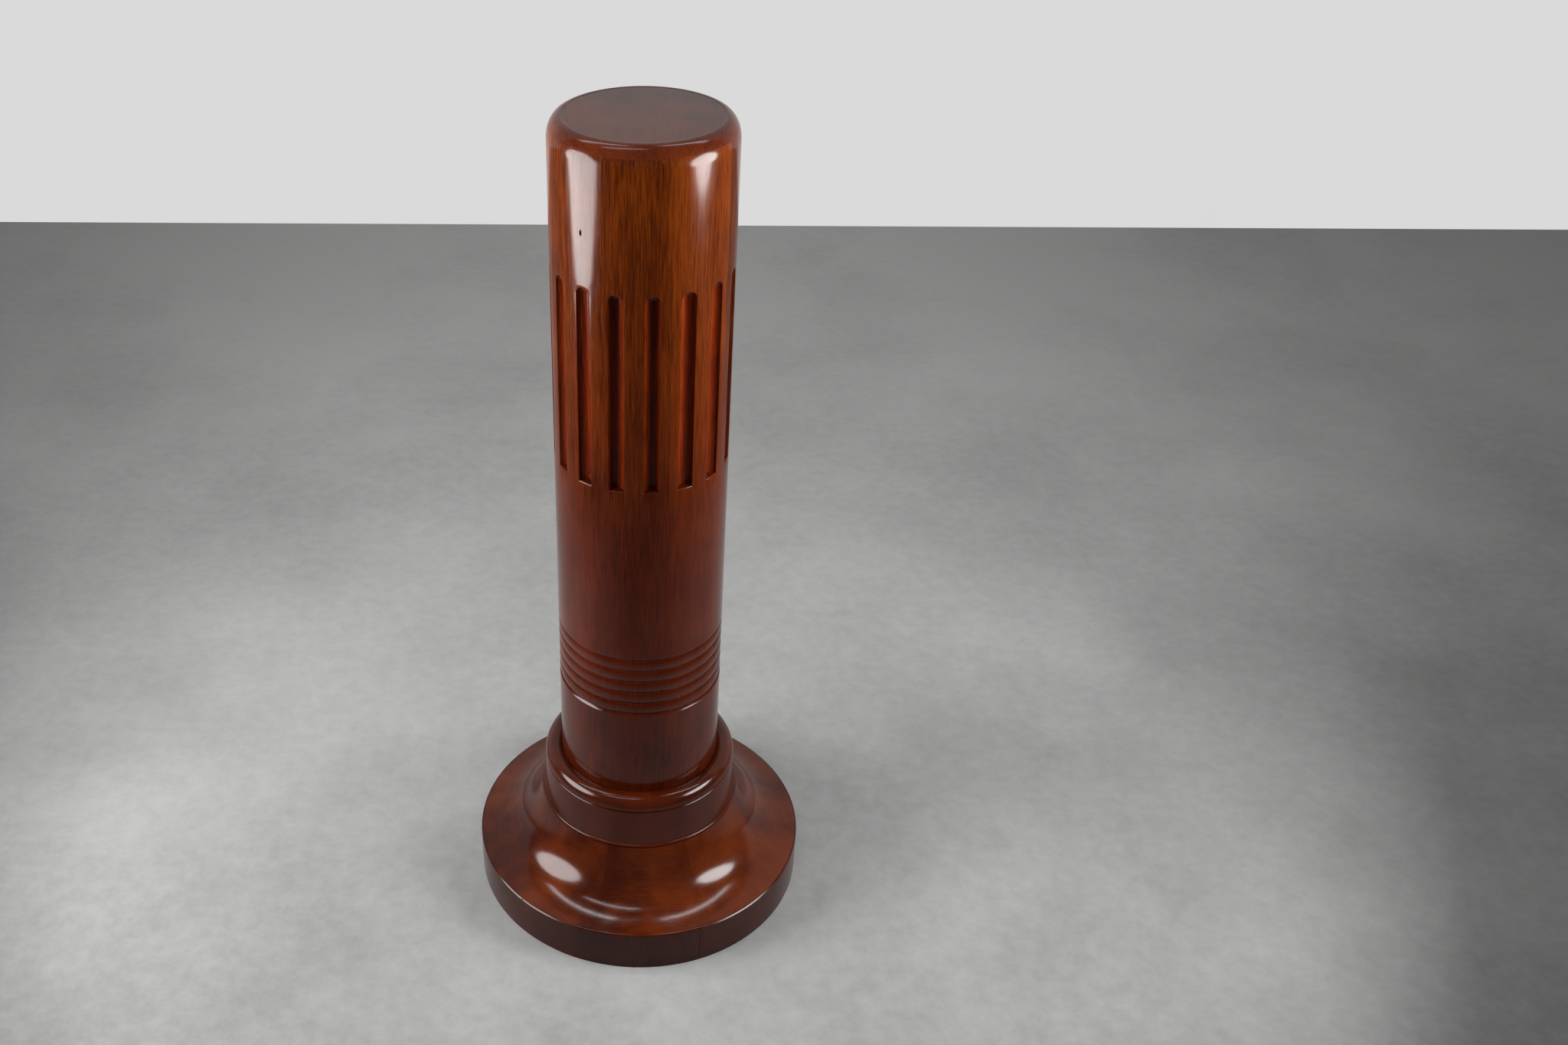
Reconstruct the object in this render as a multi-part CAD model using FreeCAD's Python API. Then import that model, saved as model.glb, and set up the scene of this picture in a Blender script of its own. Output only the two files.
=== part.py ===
import FreeCAD, Part
import math
import os

# Pedestal column: a coopered, fluted shaft with a rounded cap, standing on a turned base.
# Millimetres. The origin is the centre of the underside, +Z is up and -Y is the front.

# Overall
total_height = 1000.0
glue_line = 0.06
turned_fit = 0.15

# Shaft
shaft_radius = 97.5
stave_thickness = 22.0
stave_count = 8
stave_joint_bearing = 17.85

# Cap and the rounded head of the column
cap_thickness = 12.0
head_round_width = 14.4
head_round_height = 22.9
cap_spigot_length = 10.0

# Flutes
flutes_per_stave = 2
flute_radius = 8.4
flute_foot_height = 617.5
flute_head_height = 847.0
flute_lift_angle = 60.0

# Reeded band
reed_count = 5
reed_pitch = 16.0
reed_swell = 1.6
band_middle_height = 350.0
groove_depth = 1.6
lip_height = 4.0

# Loose tongues between the staves
tongue_thickness = 4.0
tongue_width = 14.0
tongue_fit = 0.1
tongue_end_inset = 35.0
tongue_depth = 9.5

# Core block, an eight-sided bar that joins the shaft to the base
core_rise_in_shaft = 40.0

# Half-round ring round the foot of the shaft
torus_reach = 21.0
torus_section_radius = 14.0
torus_centre_rise = 3.9

# Collar
collar_height = 52.3
collar_head_radius = 118.0
collar_foot_radius = 122.3
bead_height = 4.3
bead_reach = 2.4

# Base
base_radius = 205.3
base_height = 121.0
rim_height = 54.2
bell_top_radius = 124.2
bell_neck_reach = 36.0
bell_neck_slope = 68.0
bell_cove_reach = 54.0
bell_cove_slope = 7.0

# Rim banding
banding_thickness = 1.8
banding_edge_flat = 1.0
banding_joint_gap = 0.5
banding_joint_bearing = 21.5

# Flats that stand in for each curve of a profile
cap_flats = 4
stave_head_flats = 2
reed_flats = 3
torus_flats = 5
bead_flats = 2
bell_flats = 11

# Sizes that follow from the ones above
bore_apothem = shaft_radius - stave_thickness
plug_apothem = bore_apothem - turned_fit
ring_bore_radius = shaft_radius + turned_fit
cap_joint_height = total_height - cap_thickness
collar_top_height = base_height + collar_height
band_half_height = reed_count * reed_pitch / 2
groove_radius = shaft_radius - groove_depth
stave_angle = 360.0 / stave_count
bell_radius = base_radius - banding_thickness - turned_fit

ORIGIN = FreeCAD.Vector(0, 0, 0)
UP = FreeCAD.Vector(0, 0, 1)


# A profile is a list of (radius, height) points, turned about the column's axis.
# A bearing is counted in degrees from the front (-Y) towards +X.
def steps(start, end, count):
    return [start + (end - start) * index / count for index in range(count + 1)]


def on_ellipse(centre, half_width, half_height, start_degrees, end_degrees, flats):
    """Points along part of an ellipse, with angles counted from the outward direction."""
    points = []
    for degrees in steps(start_degrees, end_degrees, flats):
        angle = math.radians(degrees)
        across = half_width * math.cos(angle)
        points.append((centre[0] + across, centre[1] + half_height * math.sin(angle)))
    return points


def on_arc(centre, radius, start_degrees, end_degrees, flats):
    return on_ellipse(centre, radius, radius, start_degrees, end_degrees, flats)


def bulging_up(inner_radius, foot, head, swell, flats):
    """Points up an arc that swells outward between two heights at one radius."""
    half = (head - foot) / 2
    radius = (half * half + swell * swell) / (2 * swell)
    opening = math.degrees(math.asin(half / radius))
    return on_arc((inner_radius + swell - radius, foot + half), radius, -opening, opening, flats)


def turned(points, sweep=360.0, start_bearing=0.0):
    corners = [FreeCAD.Vector(radius, 0, height) for radius, height in points]
    face = Part.Face(Part.makePolygon(corners + corners[:1]))
    solid = face.revolve(ORIGIN, UP, sweep)
    if solid.Volume < 0:
        solid.reverse()
    solid.rotate(ORIGIN, UP, start_bearing - 90.0)
    return solid


def turned_piece(points, sweep, start_bearing, joint_radius):
    """Turn a profile through part of a circle, short of its neighbour by one glue line."""
    gap = math.degrees(glue_line / joint_radius)
    return turned(points, sweep - gap, start_bearing + gap / 2)


def sided_bar(apothem, foot, head):
    """An upright bar with one flat side to each stave and its corners on the stave joints."""
    corners = []
    for bearing in evenly(stave_count, stave_joint_bearing):
        angle = math.radians(bearing)
        radius = apothem / math.cos(math.radians(stave_angle / 2))
        corners.append(FreeCAD.Vector(radius * math.sin(angle), -radius * math.cos(angle), foot))
    face = Part.Face(Part.makePolygon(corners + corners[:1]))
    return face.extrude(UP * (head - foot))


def evenly(count, first_bearing):
    return [first_bearing + 360.0 * index / count for index in range(count)]


def save(name, shape):
    shape.exportStep(os.path.join("parts", name + ".step"))


# The rounded head of the column is a quarter ellipse that runs over the cap and the stave ends.
def head_round(start_drop, end_drop, flats):
    """Points up the round, between two depths below the top of the column."""
    centre = (shaft_radius - head_round_width, total_height - head_round_height)

    def degrees_at(drop):
        return math.degrees(math.asin(1.0 - drop / head_round_height))

    start, end = degrees_at(start_drop), degrees_at(end_drop)
    return on_ellipse(centre, head_round_width, head_round_height, start, end, flats)


def make_top_cap():
    joint = cap_joint_height + glue_line
    edge = head_round(cap_thickness - glue_line, 0, cap_flats)
    disc = turned([(0, joint)] + edge + [(0, total_height)])
    return disc.fuse(sided_bar(plug_apothem, cap_joint_height - cap_spigot_length, joint))


def reeded_band():
    foot = band_middle_height - band_half_height
    head = band_middle_height + band_half_height
    points = [(shaft_radius, foot - lip_height), (groove_radius, foot)]
    for index in range(reed_count):
        reed_foot = foot + index * reed_pitch
        reed = bulging_up(groove_radius, reed_foot, reed_foot + reed_pitch, reed_swell, reed_flats)
        points += reed[1:]
    points.append((shaft_radius, head + lip_height))
    return points


def flute_cutter(bearing):
    """A round bar laid upright along the face of the shaft, with its head mitred and bent outward."""
    angle = math.radians(flute_lift_angle)
    bend = FreeCAD.Vector(0, -shaft_radius, flute_head_height - flute_radius / math.sin(angle))
    outward = FreeCAD.Vector(0, -math.sin(angle), math.cos(angle))
    spare = 2 * flute_radius
    foot = FreeCAD.Vector(0, -shaft_radius, flute_foot_height)
    upright = Part.makeCylinder(flute_radius, bend.z - flute_foot_height + spare, foot)
    lifted = Part.makeCylinder(flute_radius, 2 * spare, bend - outward * spare, outward)
    corner = bend - FreeCAD.Vector(2 * spare, 2 * spare, 0)
    above = Part.makeBox(4 * spare, 4 * spare, 2 * spare, corner)
    below = Part.makeBox(4 * spare, 4 * spare, 2 * spare, corner - UP * 2 * spare)
    for half in (above, below):
        half.rotate(bend, FreeCAD.Vector(1, 0, 0), flute_lift_angle / 2)
    cutter = upright.cut(above).fuse(lifted.cut(below))
    cutter.rotate(ORIGIN, UP, bearing)
    return cutter


def tongue(bearing, clearance):
    thickness = tongue_thickness + 2 * clearance
    width = tongue_width + 2 * clearance
    foot = base_height + tongue_end_inset - clearance
    head = cap_joint_height - tongue_end_inset + clearance
    corner = FreeCAD.Vector(-width / 2, tongue_depth - shaft_radius - thickness / 2, foot)
    bar = Part.makeBox(width, thickness, head - foot, corner)
    bar.rotate(ORIGIN, UP, bearing)
    return bar


def make_stave(start_bearing):
    points = [(plug_apothem, cap_joint_height), (plug_apothem, base_height), (shaft_radius, base_height)]
    points += reeded_band()
    points += head_round(head_round_height, cap_thickness, stave_head_flats)
    stave = turned_piece(points, stave_angle, start_bearing, shaft_radius)
    stave = stave.cut(sided_bar(bore_apothem, base_height, cap_joint_height))
    flute_angle = stave_angle / flutes_per_stave
    for index in range(flutes_per_stave):
        stave = stave.cut(flute_cutter(start_bearing + (index + 0.5) * flute_angle))
    for bearing in (start_bearing, start_bearing + stave_angle):
        stave = stave.cut(tongue(bearing, tongue_fit))
    return stave


def make_core_block():
    return sided_bar(plug_apothem, 0, base_height + core_rise_in_shaft)


def make_torus_ring():
    centre = (
        shaft_radius + torus_reach - torus_section_radius,
        collar_top_height + torus_centre_rise,
    )
    foot_degrees = math.degrees(math.asin(-torus_centre_rise / torus_section_radius))
    inner_degrees = math.degrees(math.acos((ring_bore_radius - centre[0]) / torus_section_radius))
    section = on_arc(centre, torus_section_radius, foot_degrees, inner_degrees, torus_flats)
    return turned([(ring_bore_radius, collar_top_height)] + section)


def make_collar():
    top = collar_top_height - glue_line
    bead_middle = (collar_foot_radius, base_height + bead_height / 2)
    points = [(ring_bore_radius, base_height)]
    points += on_ellipse(bead_middle, bead_reach, bead_height / 2, -90, 90, bead_flats)
    points += [(collar_head_radius, top), (ring_bore_radius, top)]
    return turned(points)


# The bell's curve leaves the bead steeply and sweeps out in one cove to the rim.
def bell_curve():
    neck = math.radians(bell_neck_slope)
    cove = math.radians(bell_cove_slope)
    top = (bell_top_radius, base_height)
    foot = (bell_radius, rim_height)
    poles = [
        top,
        (
            top[0] + bell_neck_reach * math.cos(neck),
            top[1] - bell_neck_reach * math.sin(neck),
        ),
        (
            foot[0] - bell_cove_reach * math.cos(cove),
            foot[1] + bell_cove_reach * math.sin(cove),
        ),
        foot,
    ]
    points = []
    for t in steps(0.0, 1.0, bell_flats):
        weights = ((1 - t) ** 3, 3 * t * (1 - t) ** 2, 3 * t * t * (1 - t), t ** 3)
        points.append(tuple(
            sum(weight * pole[axis] for weight, pole in zip(weights, poles)) for axis in (0, 1)
        ))
    return points


def make_bell():
    points = [(plug_apothem, 0), (plug_apothem, base_height)] + bell_curve() + [(bell_radius, 0)]
    return turned(points).cut(sided_bar(bore_apothem, 0, base_height))


def make_rim_banding():
    inner_radius = base_radius - banding_thickness
    points = [
        (inner_radius, rim_height),
        (inner_radius, 0),
        (base_radius, 0),
        (base_radius, rim_height - banding_edge_flat),
        (base_radius - banding_edge_flat, rim_height),
    ]
    gap = math.degrees(banding_joint_gap / base_radius)
    return turned(points, 360.0 - gap, banding_joint_bearing + gap / 2)


def main():
    os.makedirs("parts", exist_ok=True)
    save("top_cap", make_top_cap())
    for number, bearing in enumerate(evenly(stave_count, stave_joint_bearing), start=1):
        save(f"stave_{number}", make_stave(bearing))
        save(f"stave_tongue_{number}", tongue(bearing, 0))
    save("core_block", make_core_block())
    save("torus_ring", make_torus_ring())
    save("collar", make_collar())
    save("bell", make_bell())
    save("rim_banding", make_rim_banding())


main()
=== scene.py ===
import math

import bpy
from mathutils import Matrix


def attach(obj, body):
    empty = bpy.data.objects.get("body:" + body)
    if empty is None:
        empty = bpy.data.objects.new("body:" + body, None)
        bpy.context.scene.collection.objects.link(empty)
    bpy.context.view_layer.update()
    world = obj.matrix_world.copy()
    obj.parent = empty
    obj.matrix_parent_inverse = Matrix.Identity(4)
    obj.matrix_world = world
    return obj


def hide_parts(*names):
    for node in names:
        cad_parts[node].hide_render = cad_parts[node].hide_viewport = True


# A pedestal column in polished mahogany. Sizes are in metres, and every piece sits where its
# CAD node is: +Z up, -Y to the front. A bearing is in degrees from the front towards +X.
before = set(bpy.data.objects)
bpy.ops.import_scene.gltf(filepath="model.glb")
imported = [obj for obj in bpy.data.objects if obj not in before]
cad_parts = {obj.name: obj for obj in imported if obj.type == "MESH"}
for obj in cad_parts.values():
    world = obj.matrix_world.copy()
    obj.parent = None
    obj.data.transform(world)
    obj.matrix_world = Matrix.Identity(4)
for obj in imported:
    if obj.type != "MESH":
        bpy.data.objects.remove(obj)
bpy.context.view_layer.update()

HEIGHT = 1.0
GLUE = 0.00006
FINE_EDGE = 0.0001

# Shaft
SHAFT = 0.0975
BORE = 0.0755
STAVES = 8
STAVE_SECTOR = 360.0 / STAVES
FIRST_STAVE = 17.85
JOINT_GAP = GLUE / 2
JOINT_EASE = 0.00004

# Cap and rounded head. The crease is where the round meets the sunk flat of the top.
CAP_THICKNESS = 0.012
CAP_FOOT = HEIGHT - CAP_THICKNESS + GLUE
CAP_PINHOLE = 0.0005
STAVE_TOP = CAP_FOOT - JOINT_GAP
ROUND_WIDTH = 0.0144
ROUND_HEIGHT = 0.0229
CREASE_DEPTH = 0.0003
CREASE_SOFTNESS = 0.0002
CREASE_REACHES = (0.0003, 0.0007, 0.0012, 0.0030)

# Flutes, two to a stave. SPREAD is half the width of face that each flute has to itself.
FLUTE = 0.0084
FLUTE_FOOT = 0.6175
FLUTE_HEAD = 0.847
FLUTE_EDGE = 0.0007
FLUTE_SILL = 0.0013
FLUTE_SECTOR = STAVE_SECTOR / 2
SPREAD = math.radians(FLUTE_SECTOR / 2) * SHAFT
LAND_SHARES = (0.25, 0.55, 1.0)

# Heights of the rows that only keep the faces of the plain stretches short
PLINTH_ROWS = (0.2,)
WAIST_ROWS = (0.5, 0.6)
FLUTE_ROWS = (0.68, 0.76)
NECK_ROWS = (0.88, 0.91, 0.945)

# Reeded band
REEDS = 5
REED_PITCH = 0.016
REED_SWELL = 0.0016
BAND_MIDDLE = 0.35
GROOVE = 0.0016
LIP = 0.004
LIP_BEVEL = 0.0032

# Half-round ring
TORUS_REACH = 0.021
TORUS_SECTION = 0.014
TORUS_RISE = 0.0039
TORUS_FOOT = 0.0007
TORUS_INSET = 0.0006
RING_BORE = 0.09765

# Collar
COLLAR_TOP = 0.1733
COLLAR_HEAD_RADIUS = 0.118
COLLAR_FOOT_RADIUS = 0.1223
COLLAR_EASE = 0.0008
COLLAR_SOFTNESS = 0.0003
BEAD_HEIGHT = 0.0043
BEAD_REACH = 0.0024

# Bell
BASE_TOP = 0.121
BELL = 0.20335
BELL_TOP = 0.1242
BELL_EASE = 0.0004
NECK_REACH = 0.036
NECK_SLOPE = 68.0
COVE_REACH = 0.054
COVE_SLOPE = 7.0

# Rim banding
BASE = 0.20529
RIM = 0.0542
BANDING = 0.0018
BANDING_JOINT = 21.5
BANDING_GAP = 0.0005
CHAMFER_RUN = 0.0015
CHAMFER_DROP = 0.00113
CHAMFER_SOFTNESS = 0.0002
FOOT_EASE = 0.0003

# Studio
WALL_PLACE = 2.085
STAGE_REACH = 6
WALL_HEIGHT = 5
SOFTBOX_DISTANCE = 1.03
STRIP_HEIGHT = 2.4


# Mesh making ---------------------------------------------------------------------------------

def around(radius, bearing, height):
    angle = math.radians(bearing)
    return (radius * math.sin(angle), -radius * math.cos(angle), height)


def steps(start, end, count):
    return [start + (end - start) * index / count for index in range(count + 1)]


def on_ellipse(centre, half_width, half_height, start, end, count):
    """Points along part of an ellipse, with angles counted from the outward direction."""
    points = []
    for degrees in steps(start, end, count):
        angle = math.radians(degrees)
        across = half_width * math.cos(angle)
        points.append((centre[0] + across, centre[1] + half_height * math.sin(angle)))
    return points


def on_bezier(poles, t):
    """A point of a curve with three or four poles."""
    while len(poles) > 1:
        poles = [
            tuple((1 - t) * a + t * b for a, b in zip(pole, following))
            for pole, following in zip(poles, poles[1:])
        ]
    return poles[0]


def softened(points, radius):
    """The same line of (radius, height) points with each inner corner rounded."""
    out = [points[0]]
    for before, corner, after in zip(points, points[1:], points[2:]):
        back = (before[0] - corner[0], before[1] - corner[1])
        on = (after[0] - corner[0], after[1] - corner[1])
        back_length, on_length = math.hypot(*back), math.hypot(*on)
        reach = min(radius, back_length * 0.45, on_length * 0.45)
        start = tuple(c + b / back_length * reach for c, b in zip(corner, back))
        end = tuple(c + o / on_length * reach for c, o in zip(corner, on))
        out += [on_bezier([start, corner, end], t) for t in steps(0.0, 1.0, 4)]
    out.append(points[-1])
    return out


def new_piece(name, points, faces, node, slot, finish):
    mesh = bpy.data.meshes.new(name)
    mesh.from_pydata(points, [], faces)
    mesh.validate()
    mesh.shade_smooth()
    mesh.set_sharp_from_angle(angle=math.radians(35.0))
    mesh.materials.append(finish)
    piece = bpy.data.objects.new(name, mesh)
    bpy.context.scene.collection.objects.link(piece)
    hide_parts(node)
    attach(piece, "root")


def lathe(profile, sweep=360.0, start=0.0):
    """Points and faces of a closed (radius, height) profile turned about the column's axis."""
    whole = sweep >= 360.0
    bearings = steps(start, start + sweep, 288)
    if whole:
        bearings = bearings[:-1]
    points = [around(radius, bearing, height) for bearing in bearings for radius, height in profile]
    size, turns = len(profile), len(bearings)
    faces = []
    for column in range(turns if whole else turns - 1):
        here, there = column * size, (column + 1) % turns * size
        for index in range(size):
            ahead = (index + 1) % size
            faces.append((here + index, there + index, there + ahead, here + ahead))
    if not whole:
        faces.append(tuple(range(size)))
        faces.append(tuple(range((turns - 1) * size, turns * size))[::-1])
    return points, faces


# Shader making -------------------------------------------------------------------------------

class Value:
    """A socket of a shader. One that carries a number works in ordinary sums."""

    def __init__(self, finish, socket):
        self.finish, self.socket = finish, socket

    def maths(self, operation, first, second):
        return self.finish.node("ShaderNodeMath", {"operation": operation}, {0: first, 1: second})

    def __add__(self, other):
        return self.maths("ADD", self, other)

    def __sub__(self, other):
        return self.maths("SUBTRACT", self, other)

    def __rsub__(self, other):
        return self.maths("SUBTRACT", other, self)

    def __mul__(self, other):
        return self.maths("MULTIPLY", self, other)

    def __truediv__(self, other):
        return self.maths("DIVIDE", self, other)

    def __rtruediv__(self, other):
        return self.maths("DIVIDE", other, self)

    def __pow__(self, other):
        return self.maths("POWER", self, other)

    def __rpow__(self, other):
        return self.maths("POWER", other, self)

    __radd__ = __add__
    __rmul__ = __mul__


class Finish:
    """One material under construction."""

    def __init__(self, name):
        self.material = bpy.data.materials.new(name)
        self.material.use_nodes = True
        self.tree = self.material.node_tree
        self.shader = self.tree.nodes["Principled BSDF"]
        self.surface = Value(self, self.shader.outputs[0])

    def put(self, socket, value):
        if isinstance(value, Value):
            self.tree.links.new(value.socket, socket)
        else:
            socket.default_value = value

    def show(self, surface):
        self.put(self.tree.nodes["Material Output"].inputs["Surface"], surface)

    def node(self, kind, settings, inputs, output=0):
        made = self.tree.nodes.new(kind)
        for name, value in settings.items():
            setattr(made, name, value)
        for name, value in inputs.items():
            self.put(made.inputs[name], value)
        return Value(self, made.outputs[output])

    def function(self, operation, value):
        return self.node("ShaderNodeMath", {"operation": operation}, {0: value})

    def band(self, value, low, high):
        """0 below low, 1 above high, with a soft step between."""
        return self.node(
            "ShaderNodeMapRange",
            {"interpolation_type": "SMOOTHSTEP"},
            {"Value": value, "From Min": low, "From Max": high},
        )

    def noise(self, across, deep, along, detail=2.0, roughness=0.5):
        where = self.node("ShaderNodeCombineXYZ", {}, {0: across, 1: deep, 2: along})
        return self.node(
            "ShaderNodeTexNoise",
            {"noise_dimensions": "3D"},
            {"Vector": where, "Scale": 1.0, "Detail": detail, "Roughness": roughness},
        )

    def mixed(self, amount, low, high, blend="MIX"):
        return self.node(
            "ShaderNodeMix",
            {"data_type": "RGBA", "blend_type": blend},
            {0: amount, 6: low, 7: high},
            output=2,
        )

    def blended(self, amount, low, high):
        return self.node("ShaderNodeMixShader", {}, {0: amount, 1: low, 2: high})


def opaque(red, green, blue):
    return (red, green, blue, 1.0)


def place_of_surface(finish):
    where = finish.node("ShaderNodeTexCoord", {}, {}, output="Object")
    return [
        finish.node("ShaderNodeSeparateXYZ", {}, {0: where}, output=axis) for axis in ("X", "Y", "Z")
    ]


def chosen(finish, number, seed):
    """A steady random number from 0 to 1 for each whole number."""
    return finish.node(
        "ShaderNodeTexWhiteNoise", {"noise_dimensions": "1D"}, {"W": number + seed}
    )


def sector_axes(finish, place, count, first):
    """Distances along, out of and up each sector that a piece is glued up from, and its number."""
    x, y, z = place
    bearing = finish.node(
        "ShaderNodeMath", {"operation": "ARCTAN2"}, {0: x, 1: y * -1.0}
    ) * math.degrees(1.0)
    width = 360.0 / count
    number = finish.function("FLOOR", (bearing - first + 720.0) / width)
    middle = (number + 0.5) * math.radians(width) + math.radians(first)
    sine, cosine = finish.function("SINE", middle), finish.function("COSINE", middle)
    sideways = x * cosine + y * sine
    outward = x * sine - y * cosine
    return sideways, outward, z, number


# Finishes ------------------------------------------------------------------------------------

# The lower shaft is darker towards its foot, partly the wood's own tone and partly painted shade of
# light that falls off downwards; it is also more even in grain and more alike from stave to stave.
PAINTED_SHADE_AND_TONE_FOOT, PAINTED_SHADE_AND_TONE_HEAD = 0.42, 1.00
PAINTED_SHADE_AND_TONE = opaque(0.47, 0.33, 0.50)

# Each stave has its own tone, and the one to the right of the front is the palest; that paling of
# the right side is painted light from the right.
STAVE_TONE_AND_LIGHT_STEP, STAVE_TONE_AND_LIGHT_START = 2.2, -2.213

# The hollows of the flutes are painted paler and redder than the face, as painted light inside them.
HOLLOW_DEPTHS = (0.0055, 0.0005)
HOLLOW_PAINTED_LIGHT = opaque(1.6, 1.15, 1.5)

DENT_COLOUR = opaque(0.004, 0.002, 0.001)


def dents(finish, place, marks):
    """1 in each small dent, given as its place, width and height, and 0 around them."""
    amount = 0.0
    for spot, width, height in marks:
        reach = [axis - centre for axis, centre in zip(place, spot)]
        level = (reach[0] ** 2 + reach[1] ** 2) / width ** 2
        away = finish.function("SQRT", level + (reach[2] / height) ** 2)
        amount = 1.0 - finish.band(away, 0.6, 1.0) + amount
    return amount


def wood(
    name, deep, warm, pore, grain,
    lines=1.0, patch=0.5, gloss=0.2, sectors=None, painted_light_and_shade=False, marks=(),
):
    """Polished mahogany, solid through the piece.

    grain is upright, level or sideways, lines is the contrast of the grain and patch that of the
    soft cloudy figure. The numbers that multiply a place are waves to the metre.
    """
    finish = Finish(name)
    place = place_of_surface(finish)
    x, y, z = place
    if sectors:
        side, out, up, number = sector_axes(finish, place, *sectors)
        side = side + chosen(finish, number, 3.1) * 2.0
        out = out + chosen(finish, number, 8.7) * 2.0
        up = up + chosen(finish, number, 5.3) * 2.0
        tone_and_light = chosen(finish, number, 1.9) - 0.5
    else:
        side, out, up, tone_and_light = x, y, z, 0.0
    if grain == "upright":
        across, through, along = side, out, up
    elif grain == "sideways":
        across, through, along = up, out, side
    else:
        across, through, along = x, z, y

    sway = finish.noise(across * 9.0, through * 9.0, along * 2.2, detail=1.0) - 0.5
    across = across + sway * 0.010
    figure = finish.noise(across * 40.0, through * 40.0, along * 3.4, detail=3.0, roughness=0.6)
    streak = finish.noise(across * 330.0, through * 150.0, along * 6.0, detail=2.0, roughness=0.6)
    fibre = finish.noise(across * 680.0, through * 450.0, along * 26.0, detail=2.0, roughness=0.7)
    pores = finish.noise(across * 1500.0, through * 1500.0, along * 60.0, detail=1.0)
    cloud = finish.noise(x * 6.5, y * 6.5, z * 5.0, detail=3.0, roughness=0.55)
    mottle = finish.noise(x * 24.0, y * 24.0, z * 15.0, detail=2.0, roughness=0.6)

    grain_lines = (figure - 0.5) * 0.7 + (streak - 0.5) * 0.45 + (fibre - 0.5) * 1.5
    # Painted shade: darker towards the foot, partly the wood's own tone. Painted light: staves paler
    # to the right of the front.
    if painted_light_and_shade:
        dark = 1.0 - finish.band(z, PAINTED_SHADE_AND_TONE_FOOT, PAINTED_SHADE_AND_TONE_HEAD)
        lines = lines - dark * 0.5
        tone_and_light = finish.function("SINE", number * STAVE_TONE_AND_LIGHT_STEP + STAVE_TONE_AND_LIGHT_START) * (1.0 - dark * 0.85)
    warmth = grain_lines * lines + tone_and_light * 0.17 + 0.5
    warmth = warmth + (cloud - 0.5) * patch * 2.2 + (mottle - 0.5) * patch * 0.9
    colour = finish.mixed(finish.band(warmth, 0.0, 1.15), deep, warm)
    open_pores = finish.band(pores, 0.54, 0.70) * finish.band(streak, 0.35, 0.65)
    colour = finish.mixed(open_pores * lines * 0.55, colour, pore)
    if painted_light_and_shade:
        # Painted shade, partly the wood's own tone, multiplied in towards the foot.
        colour = finish.mixed(dark, colour, PAINTED_SHADE_AND_TONE, blend="MULTIPLY")
        # Painted light: the hollows of the flutes are made paler and redder.
        inward = finish.function("SQRT", x ** 2 + y ** 2)
        deepest, brim = [SHAFT - depth for depth in HOLLOW_DEPTHS]
        hollow = 1.0 - finish.band(inward, deepest, brim)
        colour = finish.mixed(hollow, colour, HOLLOW_PAINTED_LIGHT, blend="MULTIPLY")

    wave = finish.noise(x * 16.0, y * 16.0, z * 7.0, detail=1.0)
    relief = wave * 0.28 - open_pores * 0.02
    bump = finish.node(
        "ShaderNodeBump", {}, {"Strength": 0.35, "Distance": 0.0012, "Height": relief}
    )
    shader = finish.shader.inputs
    finish.put(shader["Base Color"], colour)
    finish.put(shader["Roughness"], gloss + (cloud - 0.5) * 0.05 + open_pores * 0.08)
    finish.put(shader["Normal"], bump)
    shader["IOR"].default_value = 1.5
    shader["Specular IOR Level"].default_value = 0.25
    if marks:
        bare = finish.node("ShaderNodeBsdfDiffuse", {}, {"Color": DENT_COLOUR})
        finish.show(finish.blended(dents(finish, place, marks), finish.surface, bare))
    return finish.material


SHAFT_WOOD = wood(
    "polished_stave_wood",
    deep=opaque(0.036, 0.0050, 0.0006),
    warm=opaque(0.185, 0.0345, 0.0034),
    pore=opaque(0.014, 0.0022, 0.0006),
    grain="upright", lines=1.0, patch=0.36, gloss=0.135,
    sectors=(STAVES, FIRST_STAVE),
    painted_light_and_shade=True,
    marks=(
        (around(SHAFT, -39.0, 0.906), 0.0019, 0.0042),
        (around(SHAFT, -47.0, 0.785), 0.0008, 0.0014),
        (around(SHAFT, 40.0, 0.750), 0.0006, 0.0012),
    ),
)
CAP_WOOD = wood(
    "polished_cap_wood",
    deep=opaque(0.038, 0.0045, 0.0018),
    warm=opaque(0.150, 0.0260, 0.0055),
    pore=opaque(0.018, 0.004, 0.002),
    grain="level", lines=0.6, patch=0.8, gloss=0.18,
)
RING_WOOD = wood(
    "polished_ring_wood",
    deep=opaque(0.022, 0.0026, 0.0005),
    warm=opaque(0.068, 0.0096, 0.0013),
    pore=opaque(0.012, 0.0019, 0.0006),
    grain="sideways", lines=0.3, patch=0.6, gloss=0.14,
    sectors=(8, 8.0),
)
BELL_WOOD = wood(
    "polished_bell_wood",
    deep=opaque(0.024, 0.0028, 0.0006),
    warm=opaque(0.098, 0.0165, 0.0022),
    pore=opaque(0.012, 0.0019, 0.0006),
    grain="sideways", lines=0.35, patch=1.0, gloss=0.125,
    sectors=(8, -17.5),
)
BANDING_WOOD = wood(
    "polished_banding_wood",
    deep=opaque(0.013, 0.0016, 0.0005),
    warm=opaque(0.054, 0.0070, 0.0012),
    pore=opaque(0.009, 0.0014, 0.0006),
    grain="upright", lines=0.45, patch=0.4, gloss=0.17,
    sectors=(24, 4.0),
    marks=((around(BASE, -44.5, RIM), 0.0018, 0.0014),),
)
BARE_WOOD = wood(
    "bare_core_wood",
    deep=opaque(0.42, 0.25, 0.12),
    warm=opaque(0.62, 0.42, 0.23),
    pore=opaque(0.3, 0.17, 0.08),
    grain="upright", lines=0.8, patch=0.3, gloss=0.6,
)


# Staves --------------------------------------------------------------------------------------

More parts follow.
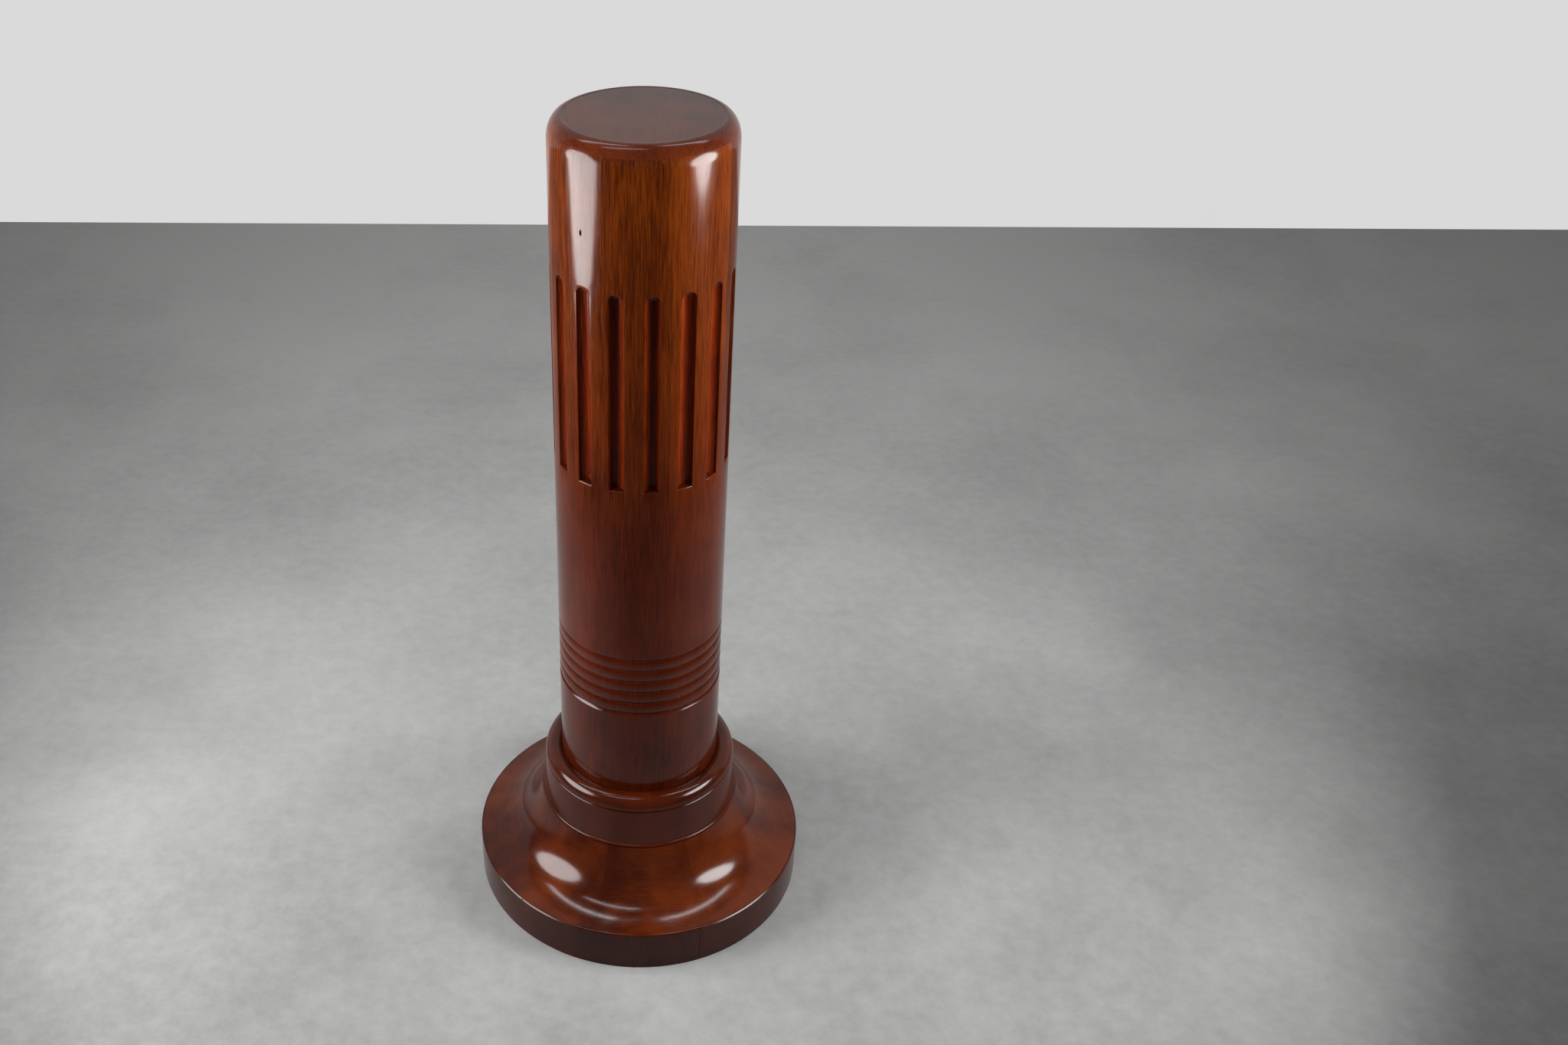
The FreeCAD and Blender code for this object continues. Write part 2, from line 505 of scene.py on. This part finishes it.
def head_round(low, high, count):
    """The column's rounded head, from one height up to another."""
    centre = (SHAFT - ROUND_WIDTH, HEIGHT - ROUND_HEIGHT)
    start, end = [
        math.degrees(math.asin(min(1.0, (height - centre[1]) / ROUND_HEIGHT)))
        for height in (low, high)
    ]
    return on_ellipse(centre, ROUND_WIDTH, ROUND_HEIGHT, start, end, count)


def stave_face():
    """The (radius, height) line up the face of a stave, from its foot to the flutes."""
    foot = BAND_MIDDLE - REEDS * REED_PITCH / 2
    head = foot + REEDS * REED_PITCH
    groove = SHAFT - GROOVE
    points = [(SHAFT, height) for height in (BASE_TOP, *PLINTH_ROWS, foot - LIP, foot - LIP_BEVEL)]
    points += [
        (SHAFT - FINE_EDGE, foot - LIP_BEVEL + FINE_EDGE),
        (groove + FINE_EDGE, foot - 2 * FINE_EDGE),
    ]
    half = REED_PITCH / 2
    radius = (half * half + REED_SWELL * REED_SWELL) / (2 * REED_SWELL)
    opening = math.degrees(math.asin(half / radius))
    for index in range(REEDS):
        centre = (groove + REED_SWELL - radius, foot + index * REED_PITCH + half)
        reed = on_ellipse(centre, radius, radius, -opening, opening, 12)
        points += reed if index == 0 else reed[1:]
    points += on_ellipse((groove, head + LIP), GROOVE, LIP, -82, -8, 6)
    points += [(SHAFT, height) for height in (head + LIP, *WAIST_ROWS)]
    return points


def flute_section():
    """Half of a flute's section as (reach from the middle, depth), from the middle outward."""
    points = []
    for degrees in steps(0.0, 82.0, 10):
        angle = math.radians(degrees)
        points.append((FLUTE * math.sin(angle), FLUTE * math.cos(angle)))
    for degrees in steps(0.0, 90.0, 4):
        angle = math.radians(degrees)
        reach = FLUTE + FLUTE_EDGE * (1 - math.cos(angle))
        points.append((reach, FLUTE_EDGE * (1 - math.sin(angle))))
    return points


class StaveSkin:
    """The mesh of one stave, with two flutes. A reach is sideways from the middle of a flute."""

    def __init__(self, start):
        self.start = start
        self.points, self.faces = [], []
        self.known, self.joints = {}, ({}, {})

    def point(self, flute, reach, radius, depth, height):
        from_joint = (flute + 0.5) * FLUTE_SECTOR + math.degrees(reach / SHAFT)
        bearing = self.start + from_joint
        at_joint = [abs(from_joint - side) < 1e-5 for side in (0.0, STAVE_SECTOR)]
        if any(at_joint):
            bearing += math.degrees(JOINT_GAP / SHAFT) * (1 if at_joint[0] else -1)
            depth += JOINT_EASE
        key = (round(bearing, 4), round(radius - depth, 7), round(height, 7))
        if key not in self.known:
            self.known[key] = len(self.points)
            self.points.append(around(radius - depth, bearing, height))
        for side in (0, 1):
            if at_joint[side]:
                self.joints[side][round(height, 7)] = self.known[key]
        return self.known[key]

    def row(self, columns, radius, height, deepest=0.0):
        """A row of points across both flutes, hollowed no deeper than deepest."""
        line = []
        for flute in (0, 1):
            for reach, depth in columns:
                number = self.point(flute, reach, radius, min(depth, deepest), height)
                if not line or line[-1] != number:
                    line.append(number)
        return line

    def face(self, corners):
        corners = [number for index, number in enumerate(corners) if number != corners[index - 1]]
        if len(corners) > 2:
            self.faces.append(tuple(corners))

    def between(self, low, high):
        for index in range(len(low) - 1):
            self.face((low[index], low[index + 1], high[index + 1], high[index]))

    def skin(self, rows):
        for low, high in zip(rows, rows[1:]):
            self.between(low, high)

    def flute_end(self, flute, side, middle):
        """The round end of a flute, in rings that open out to a rectangle."""
        brim = side[-1][0]
        rays = []
        for degrees in steps(0.0, 180.0, 32):
            across, up = math.cos(math.radians(degrees)), math.sin(math.radians(degrees))
            far = SPREAD / max(abs(across), up)
            rings = list(side) + [(brim + (far - brim) * share, 0.0) for share in LAND_SHARES]
            rays.append([
                self.point(flute, near * across, SHAFT, depth, middle + near * up)
                for near, depth in rings
            ])
        for one, other in zip(rays, rays[1:]):
            self.between(one, other)

    def add_corner(self, radius, bearing, height):
        self.points.append(around(radius, bearing, height))
        return len(self.points) - 1

    def close(self, foot, top):
        """Close the skin behind with the foot, the top, the flat back and the two joint sides."""
        gap = math.degrees(JOINT_GAP / SHAFT)
        back = BORE / math.cos(math.radians(STAVE_SECTOR / 2))
        near, far = self.start + gap, self.start + STAVE_SECTOR - gap
        near_foot = self.add_corner(back, near, BASE_TOP)
        far_foot = self.add_corner(back, far, BASE_TOP)
        far_top = self.add_corner(back, far, STAVE_TOP)
        near_top = self.add_corner(back, near, STAVE_TOP)
        near_edge, far_edge = [[edge[height] for height in sorted(edge)] for edge in self.joints]
        self.face(near_edge + [near_top, near_foot])
        self.face(far_edge[::-1] + [far_foot, far_top])
        self.face((near_foot, near_top, far_top, far_foot))
        self.face(foot[::-1] + [near_foot, far_foot])
        self.face(top + [far_top, near_top])


def stave_piece(number, start):
    stave = StaveSkin(start)
    side = flute_section()
    brim = side[-1][0]
    half = side + [(brim + (SPREAD - brim) * share, 0.0) for share in LAND_SHARES]
    columns = [(-reach, depth) for reach, depth in half[:0:-1]] + half

    rows = [stave.row(columns, radius, height) for radius, height in stave_face()]
    for degrees in steps(0.0, 90.0, 5):
        angle = math.radians(degrees)
        deepest = FLUTE_SILL * (1 - math.cos(angle))
        height = FLUTE_FOOT - FLUTE_SILL * (1 - math.sin(angle))
        rows.append(stave.row(columns, SHAFT, height, deepest))
    middle = FLUTE_HEAD - FLUTE
    for height in (FLUTE_FOOT, *FLUTE_ROWS, middle):
        rows.append(stave.row(columns, SHAFT, height, deepest=1.0))
    stave.skin(rows)
    for flute in (0, 1):
        stave.flute_end(flute, side, middle)

    above = [(SPREAD / math.tan(math.radians(degrees)), 0.0) for degrees in steps(135.0, 45.0, 16)]
    upper = [stave.row(above, SHAFT, height) for height in (middle + SPREAD, *NECK_ROWS)]
    for radius, height in head_round(HEIGHT - ROUND_HEIGHT, STAVE_TOP, 8):
        upper.append(stave.row(above, radius, height))
    stave.skin(upper)
    stave.close(rows[0], upper[-1])
    new_piece(
        f"stave_{number}_polished", stave.points, stave.faces, f"stave_{number}",
        "mahogany_shaft", SHAFT_WOOD,
    )


# Turned pieces -------------------------------------------------------------------------------

def cap_piece():
    line = [(CAP_PINHOLE, CAP_FOOT)] + head_round(CAP_FOOT, HEIGHT, 24)
    edge, flat = line[-1][0], HEIGHT - CREASE_DEPTH
    heights = (HEIGHT, HEIGHT, flat, flat)
    crease = [(edge - reach, height) for reach, height in zip(CREASE_REACHES, heights)]
    line += softened(crease, CREASE_SOFTNESS)
    line += [(radius, flat) for radius in (0.06, 0.03, CAP_PINHOLE)]
    new_piece("cap_polished", *lathe(line), "top_cap", "mahogany_turned", CAP_WOOD)


def ring_piece():
    centre = (SHAFT + TORUS_REACH - TORUS_SECTION, COLLAR_TOP + TORUS_RISE)
    foot_angle = math.degrees(math.asin((TORUS_FOOT - TORUS_RISE) / TORUS_SECTION))
    inner_angle = math.degrees(math.acos((RING_BORE - centre[0]) / TORUS_SECTION))
    line = [(RING_BORE, COLLAR_TOP), (COLLAR_HEAD_RADIUS - TORUS_INSET, COLLAR_TOP)]
    line += on_ellipse(centre, TORUS_SECTION, TORUS_SECTION, foot_angle, inner_angle, 28)
    new_piece("ring_polished", *lathe(line), "torus_ring", "mahogany_turned", RING_WOOD)


def collar_piece():
    bead_centre = (COLLAR_FOOT_RADIUS, BASE_TOP + BEAD_HEIGHT / 2)
    line = [(RING_BORE, BASE_TOP)]
    line += on_ellipse(bead_centre, BEAD_REACH, BEAD_HEIGHT / 2, -90, 80, 12)
    line += softened([
        (COLLAR_FOOT_RADIUS, BASE_TOP + BEAD_HEIGHT),
        (COLLAR_HEAD_RADIUS, COLLAR_TOP - COLLAR_EASE),
        (COLLAR_HEAD_RADIUS - COLLAR_EASE, COLLAR_TOP - GLUE),
        (RING_BORE, COLLAR_TOP - GLUE),
    ], COLLAR_SOFTNESS)
    new_piece("collar_polished", *lathe(line), "collar", "mahogany_turned", RING_WOOD)


def bell_piece():
    """The base, with a cove that sweeps out from the bead to the rim."""
    neck, cove = math.radians(NECK_SLOPE), math.radians(COVE_SLOPE)
    poles = [
        (BELL_TOP, BASE_TOP),
        (BELL_TOP + NECK_REACH * math.cos(neck), BASE_TOP - NECK_REACH * math.sin(neck)),
        (BELL - COVE_REACH * math.cos(cove), RIM + COVE_REACH * math.sin(cove)),
        (BELL, RIM),
    ]
    line = [(BORE, 0.0), (BORE, BASE_TOP)]
    line += [on_bezier(poles, t) for t in steps(0.0, 1.0, 48)[:-1]]
    line += [
        (BELL - BELL_EASE, RIM), (BELL - FINE_EDGE, RIM - FINE_EDGE),
        (BELL, RIM - BELL_EASE), (BELL, 0.0),
    ]
    new_piece("bell_polished", *lathe(line), "bell", "mahogany_base", BELL_WOOD)


def banding_piece():
    gap = math.degrees(BANDING_GAP / BASE)
    inner = BASE - BANDING
    line = [(inner, 0.0), (BASE - FOOT_EASE, 0.0)]
    line += softened([
        (BASE, FOOT_EASE), (BASE, RIM - CHAMFER_DROP),
        (BASE - CHAMFER_RUN, RIM), (inner + FINE_EDGE, RIM),
    ], CHAMFER_SOFTNESS)
    line += [(inner, RIM - 2 * FINE_EDGE)]
    new_piece(
        "banding_polished", *lathe(line, 360.0 - gap, BANDING_JOINT + gap / 2),
        "rim_banding", "mahogany_banding", BANDING_WOOD,
    )


for number in range(1, STAVES + 1):
    stave_piece(number, FIRST_STAVE + (number - 1) * STAVE_SECTOR)
cap_piece()
ring_piece()
collar_piece()
bell_piece()
banding_piece()

for name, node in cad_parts.items():
    if name == "core_block" or name.startswith("stave_tongue"):
        node.data.materials.clear()
        node.data.materials.append(BARE_WOOD)


# Studio --------------------------------------------------------------------------------------

def sheet(name, corners, finish):
    mesh = bpy.data.meshes.new(name)
    mesh.from_pydata(corners, [], [(0, 1, 2, 3)])
    mesh.materials.append(finish)
    made = bpy.data.objects.new(name, mesh)
    bpy.context.scene.collection.objects.link(made)


def cloudy(name, dark, pale):
    """A cloudy finish that grows paler from in front of the column to the wall behind it."""
    finish = Finish(name)
    x, y, z = place_of_surface(finish)
    broad = finish.noise(x * 1.7, y * 1.7, z * 1.7, detail=4.0, roughness=0.6)
    fine = finish.noise(x * 45.0, y * 45.0, z * 45.0, detail=4.0, roughness=0.7)
    clouds = (broad - 0.5) * 0.9 + (fine - 0.5) * 0.35
    colour = finish.mixed(finish.band(y, -1.9, 2.1) + clouds, dark, pale)
    finish.put(finish.shader.inputs["Base Color"], colour)
    finish.shader.inputs["Roughness"].default_value = 0.7
    return finish, colour


def floor_sheet():
    finish, _ = cloudy("pale_floor", opaque(0.095, 0.095, 0.094), opaque(0.42, 0.42, 0.416))
    sheet("floor", [
        (-STAGE_REACH, -STAGE_REACH, 0), (STAGE_REACH, -STAGE_REACH, 0),
        (STAGE_REACH, WALL_PLACE, 0), (-STAGE_REACH, WALL_PLACE, 0),
    ], finish.material)


def wall_sheet():
    """A wall that keeps its pale colour to the camera and in the polish, however it is lit."""
    finish, colour = cloudy("pale_wall", opaque(0.68, 0.68, 0.68), opaque(0.70, 0.70, 0.70))
    glow = finish.node("ShaderNodeEmission", {}, {"Color": colour, "Strength": 1.0})
    to_camera, in_polish = [
        finish.node("ShaderNodeLightPath", {}, {}, output=ray)
        for ray in ("Is Camera Ray", "Is Glossy Ray")
    ]
    finish.show(finish.blended(to_camera + in_polish, finish.surface, glow))
    sheet("wall", [
        (-STAGE_REACH, WALL_PLACE, 0), (STAGE_REACH, WALL_PLACE, 0),
        (STAGE_REACH, WALL_PLACE, WALL_HEIGHT), (-STAGE_REACH, WALL_PLACE, WALL_HEIGHT),
    ], finish.material)


def panel(name, shape, place, aim, width, height, strength):
    """A soft panel of light. strength is its brightness, where 1 is white."""
    lamp = bpy.data.lights.new(name, "AREA")
    lamp.shape = shape
    lamp.size, lamp.size_y = width, height
    area = width * height * (math.pi / 4 if shape == "ELLIPSE" else 1.0)
    lamp.energy = strength * math.pi * area
    made = bpy.data.objects.new(name, lamp)
    made.location = place
    direction = [a - p for a, p in zip(aim, place)]
    pitch = math.atan2(direction[2], math.hypot(direction[0], direction[1]))
    turn = math.atan2(direction[0], direction[1])
    made.rotation_euler = (math.pi / 2 + pitch, 0.0, -turn)
    made.visible_camera = False
    bpy.context.scene.collection.objects.link(made)


def softbox(name, bearing, height_up, width, height, strength):
    place = around(SOFTBOX_DISTANCE, bearing, height_up)
    panel(name, "ELLIPSE", place, (0, 0, height_up), width, height, strength)


def strip(name, x, y, length, width, strength):
    """A long panel overhead, which faces down towards the floor beside the column."""
    panel(name, "RECTANGLE", (x, y, STRIP_HEIGHT), (x, 0.0, 0.0), length, width, strength)


def lights():
    softbox("left_softbox", -74.0, 0.74, 0.82, 0.76, 16.0)
    softbox("right_softbox", 71.0, 0.83, 0.66, 0.52, 24.0)
    strip("left_overhead_strip", -0.85, 0.30, 1.3, 0.14, 16.0)
    strip("right_overhead_strip", 0.90, 0.30, 1.3, 0.14, 16.0)
    strip("front_overhead_strip", -0.50, -0.45, 1.0, 0.12, 13.0)
    world = bpy.data.worlds.new("studio")
    world.use_nodes = True
    background = world.node_tree.nodes["Background"].inputs
    background["Color"].default_value = opaque(0.8, 0.8, 0.8)
    background["Strength"].default_value = 0.17
    bpy.context.scene.world = world


def camera():
    """The photo's camera, whose picture reaches further to the right of the lens's axis."""
    lens = bpy.data.cameras.new("camera")
    lens.sensor_width = 36.0
    lens.lens = 36.968
    lens.shift_x = 0.10192
    made = bpy.data.objects.new("camera", lens)
    made.location = (0.0, -1.5493, 1.5381)
    made.rotation_euler = (math.pi / 2 - 0.583035, 0.0, 0.012447)
    bpy.context.scene.collection.objects.link(made)
    bpy.context.scene.camera = made


floor_sheet()
wall_sheet()
lights()
bpy.context.scene.view_settings.view_transform = "Standard"
camera()
